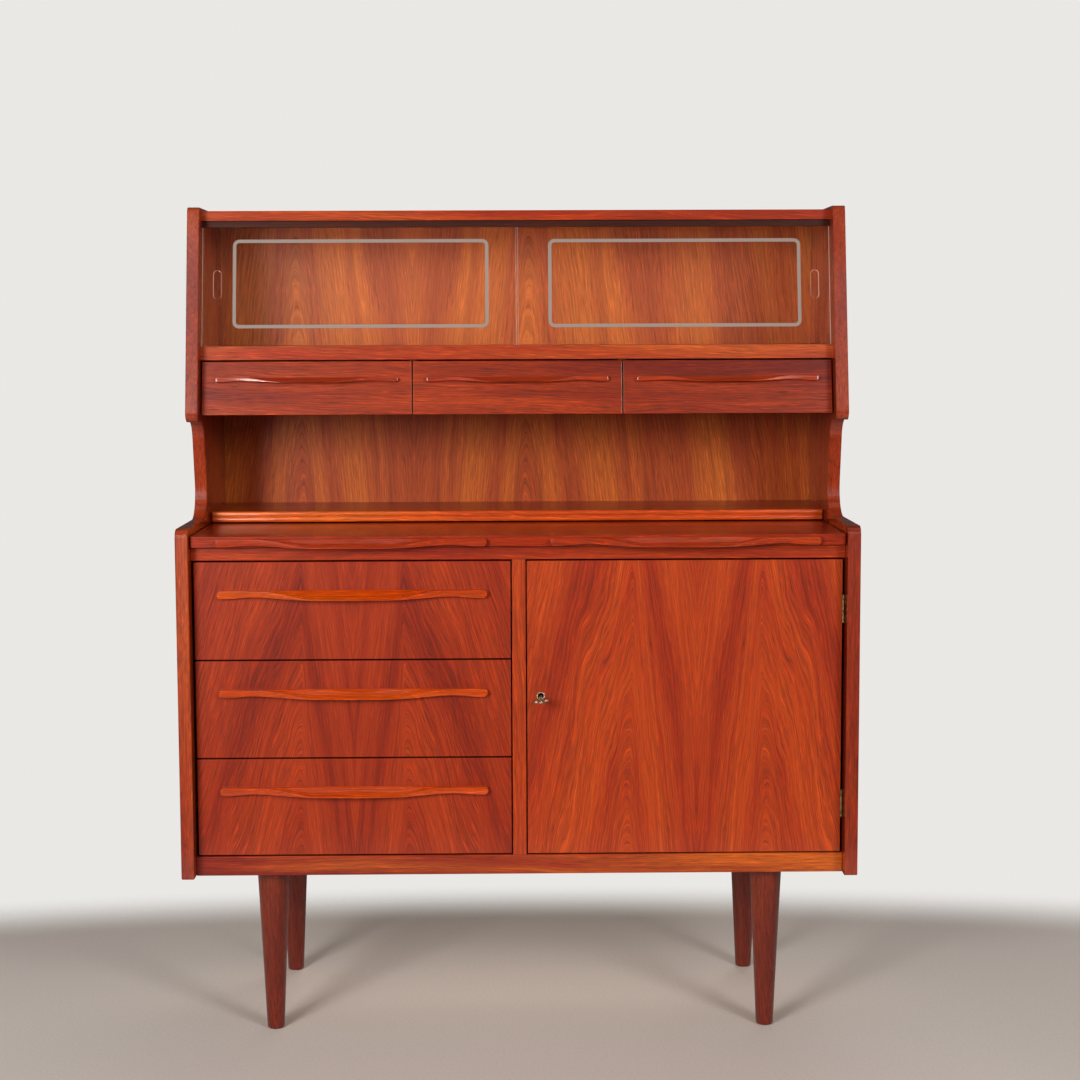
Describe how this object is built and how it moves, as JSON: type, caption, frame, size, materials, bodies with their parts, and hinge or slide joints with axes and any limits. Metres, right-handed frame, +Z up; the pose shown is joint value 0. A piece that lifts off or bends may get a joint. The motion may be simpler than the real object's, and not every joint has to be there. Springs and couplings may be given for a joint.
{
  "type": "secretary desk",
  "caption": "Teak secretary desk: drawers and a locked cupboard under a pull-out writing board, with a slanting hutch of sliding glass and small drawers over a niche, on turned legs.",
  "frame": {"origin": "on the floor, under the middle of the desk's overall box", "axes": "+Z up, +X to the right of someone facing the desk, -Y out of the front"},
  "size_m": [1, 0.444, 1.242],
  "materials": {
    "teak_veneer": "satin lacquered teak veneer",
    "teak_solid": "satin lacquered solid teak",
    "teak_dark": "satin stained wood",
    "pale_wood": "plain sanded beech and plywood",
    "glass": "clear float glass with ground lines",
    "brass": "aged, slightly tarnished",
    "steel": "plain zinc-plated"
  },
  "bodies": {
    "cabinet": {"left_side": "teak_veneer", "right_side": "teak_veneer", "bottom_panel": "pale_wood", "bottom_rail": "teak_solid", "deck_panel": "pale_wood", "deck_rail": "teak_solid", "partition": "teak_veneer", "lower_back": "pale_wood", "upper_back": "teak_veneer", "niche_shelf": "teak_solid", "hutch_deck": "teak_veneer", "hutch_dividers": "teak_veneer", "glass_shelf": "teak_veneer", "top_panel": "teak_veneer", "top_track": "teak_dark", "drawer_runners": "pale_wood", "leg_front_left": "teak_dark", "leg_front_right": "teak_dark", "leg_rear_left": "teak_dark", "leg_rear_right": "teak_dark", "leg_plates": "steel", "leg_bolts": "steel", "cupboard_shelf": "teak_veneer", "shelf_pins": "brass", "hinge_frame_leaves": "brass", "hinge_frame_screws": "steel", "strike_plate": "steel", "back_screws": "steel"},
    "board": {"writing_board": "teak_veneer", "board_handle_left": "teak_solid", "board_handle_right": "teak_solid", "board_stops": "teak_dark"},
    "door": {"door_panel": "teak_veneer", "escutcheon": "brass", "lock_case": "steel", "hinge_door_leaves": "brass", "hinge_pins": "steel", "hinge_door_screws": "steel"},
    "key": {"door_key": "brass"},
    "bolt": {"lock_bolt": "brass"},
    "pane_left": {"glass_left": "glass"},
    "pane_right": {"glass_right": "glass"},
    "drawer_top": {"drawer_top_front": "teak_veneer", "drawer_top_handle": "teak_solid", "drawer_top_box": "pale_wood"},
    "drawer_middle": {"drawer_middle_front": "teak_veneer", "drawer_middle_handle": "teak_solid", "drawer_middle_box": "pale_wood"},
    "drawer_bottom": {"drawer_bottom_front": "teak_veneer", "drawer_bottom_handle": "teak_solid", "drawer_bottom_box": "pale_wood"},
    "small_drawer_left": {"small_drawer_left_front": "teak_veneer", "small_drawer_left_handle": "teak_solid", "small_drawer_left_box": "pale_wood"},
    "small_drawer_middle": {"small_drawer_middle_front": "teak_veneer", "small_drawer_middle_handle": "teak_solid", "small_drawer_middle_box": "pale_wood"},
    "small_drawer_right": {"small_drawer_right_front": "teak_veneer", "small_drawer_right_handle": "teak_solid", "small_drawer_right_box": "pale_wood"}
  },
  "joints": [
    {"name": "board_pull", "type": "slide", "parent": "cabinet", "child": "board", "axis": [0, -1, 0], "range_m": [0, 0.26]},
    {"name": "drawer_top_pull", "type": "slide", "parent": "cabinet", "child": "drawer_top", "axis": [0, -1, 0], "range_m": [0, 0.3]},
    {"name": "drawer_middle_pull", "type": "slide", "parent": "cabinet", "child": "drawer_middle", "axis": [0, -1, 0], "range_m": [0, 0.3]},
    {"name": "drawer_bottom_pull", "type": "slide", "parent": "cabinet", "child": "drawer_bottom", "axis": [0, -1, 0], "range_m": [0, 0.3]},
    {"name": "small_drawer_left_pull", "type": "slide", "parent": "cabinet", "child": "small_drawer_left", "axis": [0, -1, 0], "range_m": [0, 0.18]},
    {"name": "small_drawer_middle_pull", "type": "slide", "parent": "cabinet", "child": "small_drawer_middle", "axis": [0, -1, 0], "range_m": [0, 0.18]},
    {"name": "small_drawer_right_pull", "type": "slide", "parent": "cabinet", "child": "small_drawer_right", "axis": [0, -1, 0], "range_m": [0, 0.18]},
    {"name": "door_swing", "type": "hinge", "parent": "cabinet", "child": "door", "pos_m": [0.4784, -0.1759, 0.5], "axis": [0, 0, 1], "range_deg": [0, 95]},
    {"name": "key_turn", "type": "hinge", "parent": "door", "child": "key", "pos_m": [0.032, -0.174, 0.5143], "axis": [0, -1, 0], "range_deg": [0, 90]},
    {"name": "bolt_throw", "type": "slide", "parent": "door", "child": "bolt", "axis": [-1, 0, 0], "range_m": [0, 0.008]},
    {"name": "pane_left_slide", "type": "slide", "parent": "cabinet", "child": "pane_left", "axis": [1, 0, 0], "range_m": [0, 0.478]},
    {"name": "pane_right_slide", "type": "slide", "parent": "cabinet", "child": "pane_right", "axis": [-1, 0, 0], "range_m": [0, 0.478]}
  ],
  "couplings": [
    {"joint": "bolt_throw", "follows": "key_turn", "m_per_rad": 0.00509}
  ]
}
